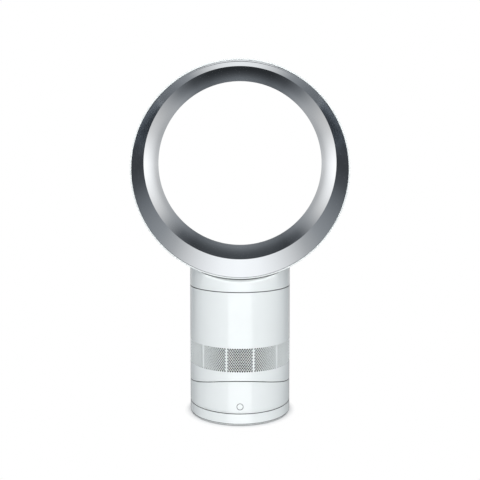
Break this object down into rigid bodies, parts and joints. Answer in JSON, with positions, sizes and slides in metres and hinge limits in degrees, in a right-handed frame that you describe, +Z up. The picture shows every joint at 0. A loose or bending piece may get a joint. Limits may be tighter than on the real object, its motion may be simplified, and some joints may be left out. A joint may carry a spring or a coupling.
{
  "type": "bladeless fan",
  "caption": "Bladeless desk fan: a round body with a perforated inlet band on a swivelling, tilting foot, and a deep eccentric ring nozzle with a silver inner wall.",
  "frame": {"origin": "on the floor, under the middle of the foot and of the whole object's footprint", "axes": "+Z up, the air leaves the ring towards -Y, +X to the right of someone who faces the front"},
  "size_m": [0.3014, 0.145, 0.5027],
  "materials": {
    "white_shell": "gloss",
    "silver_wall": "satin",
    "rubber": "matte",
    "steel": "satin",
    "grey_plastic": "matte",
    "ivory_plastic": "satin",
    "black_plastic": "matte",
    "dark_plastic": "satin",
    "circuit_board": "satin",
    "motor_metal": "satin",
    "copper": "satin",
    "magnet": "matte",
    "dark_foam": "matte"
  },
  "bodies": {
    "base": {"base_shell": "white_shell", "foot_ring": "rubber", "base_screws": "steel", "cord_gland": "rubber", "pivot_post": "grey_plastic", "post_clip": "steel", "fixed_gear": "ivory_plastic", "swivel_pad": "ivory_plastic"},
    "lower_body": {"lower_shell": "white_shell", "lower_deck": "grey_plastic", "control_board": "circuit_board", "board_screws": "steel", "button_board": "circuit_board", "tact_switch": "black_plastic", "remote_receiver": "black_plastic", "swivel_motor": "motor_metal", "motor_screws": "steel", "tilt_cradle": "grey_plastic", "tilt_glides": "ivory_plastic", "cradle_screws": "steel"},
    "button": {"power_button": "white_shell"},
    "pinion": {"swivel_pinion": "ivory_plastic"},
    "main_body": {"main_casing": "white_shell", "tilt_shoe": "grey_plastic", "shoe_screws": "steel", "lower_silencer": "dark_foam", "impeller_housing": "dark_plastic", "housing_seal": "rubber", "bucket_lower": "dark_plastic", "bucket_upper": "dark_plastic", "motor_board": "circuit_board", "motor_stator": "motor_metal", "stator_windings": "copper", "motor_bearings": "steel", "diffuser": "dark_plastic", "upper_silencer": "dark_foam", "body_collar": "grey_plastic"},
    "fan": {"impeller": "dark_plastic", "motor_shaft": "steel", "rotor_magnet": "magnet"},
    "nozzle": {"nozzle_casing": "white_shell", "nozzle_inner_wall": "silver_wall", "front_seal": "rubber", "slot_spacers": "black_plastic", "bayonet_ring": "grey_plastic", "neck_seal": "rubber"}
  },
  "joints": [
    {"name": "swivel", "type": "hinge", "parent": "base", "child": "lower_body", "pos_m": [0, 0, 0.02], "axis": [0, 0, 1], "range_deg": [-45, 45]},
    {"name": "pinion_turn", "type": "hinge", "parent": "lower_body", "child": "pinion", "pos_m": [0, 0.0375, 0.01], "axis": [0, 0, 1], "range_deg": [-182, 182]},
    {"name": "tilt", "type": "hinge", "parent": "lower_body", "child": "main_body", "pos_m": [0, 0, 0.237], "axis": [1, 0, 0], "range_deg": [-10, 10]},
    {"name": "impeller_spin", "type": "hinge", "parent": "main_body", "child": "fan", "pos_m": [0, 0, 0.12], "axis": [0, 0, 1], "continuous": true},
    {"name": "twist_lock", "type": "hinge", "parent": "main_body", "child": "nozzle", "pos_m": [0, 0, 0.186], "axis": [0, 0, 1], "range_deg": [0, 20]},
    {"name": "button_press", "type": "slide", "parent": "lower_body", "child": "button", "axis": [0, 1, 0], "range_m": [0, 0.0008], "stiffness_N_per_m": 2500, "springref_m": -0.0003}
  ],
  "couplings": [
    {"joint": "pinion_turn", "follows": "swivel", "ratio": 4}
  ]
}
